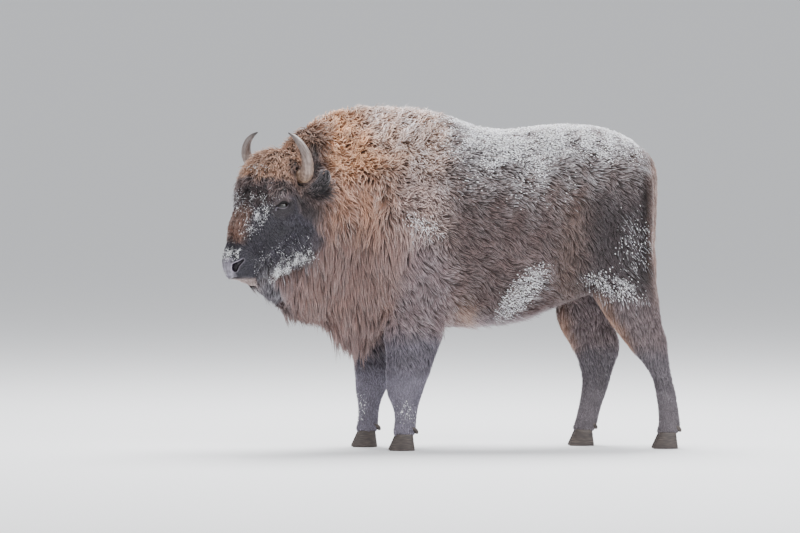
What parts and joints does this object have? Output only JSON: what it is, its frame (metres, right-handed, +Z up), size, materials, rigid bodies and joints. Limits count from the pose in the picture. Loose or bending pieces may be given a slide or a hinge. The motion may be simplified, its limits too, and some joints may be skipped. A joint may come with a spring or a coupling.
{
  "type": "european bison",
  "caption": "Life-size still model of a European bison bull in winter coat, standing with its head turned to its left; short curved horns, high hump and hanging throat mane.",
  "frame": {"origin": "on the floor under the middle of the animal's box", "axes": "+Z up; the head points to -X; the animal's left side faces -Y"},
  "size_m": [2.3605, 0.7214, 1.753],
  "materials": {
    "coat": "dense grey-brown winter hair with pale frosted tips",
    "mane": "long tan to red-brown hair, curly on the crest and hanging at the throat",
    "face": "short dark charcoal hair, ochre curls on the forehead",
    "nose": "bare damp grey skin of the nose, lips and lids",
    "horn": "ringed horn, tan at the root, blue-grey along it and dark at the tip",
    "hoof": "dark worn hoof horn",
    "eye": "wet dark brown eye",
    "snow": "dry snow caught on the tips of the coat"
  },
  "bodies": {
    "root": {"head": "face", "neck": "mane", "trunk": "coat", "tail": "coat", "fore_leg_left": "coat", "fore_leg_right": "coat", "hind_leg_left": "coat", "hind_leg_right": "coat", "ear_left": "face", "horn_left": "horn", "eye_left": "eye", "ear_right": "face", "horn_right": "horn", "eye_right": "eye", "hoof_fore_left_inner": "hoof", "dewclaw_fore_left_inner": "hoof", "hoof_fore_left_outer": "hoof", "dewclaw_fore_left_outer": "hoof", "hoof_fore_right_inner": "hoof", "dewclaw_fore_right_inner": "hoof", "hoof_fore_right_outer": "hoof", "dewclaw_fore_right_outer": "hoof", "hoof_hind_left_inner": "hoof", "dewclaw_hind_left_inner": "hoof", "hoof_hind_left_outer": "hoof", "dewclaw_hind_left_outer": "hoof", "hoof_hind_right_inner": "hoof", "dewclaw_hind_right_inner": "hoof", "hoof_hind_right_outer": "hoof", "dewclaw_hind_right_outer": "hoof"}
  },
  "joints": []
}
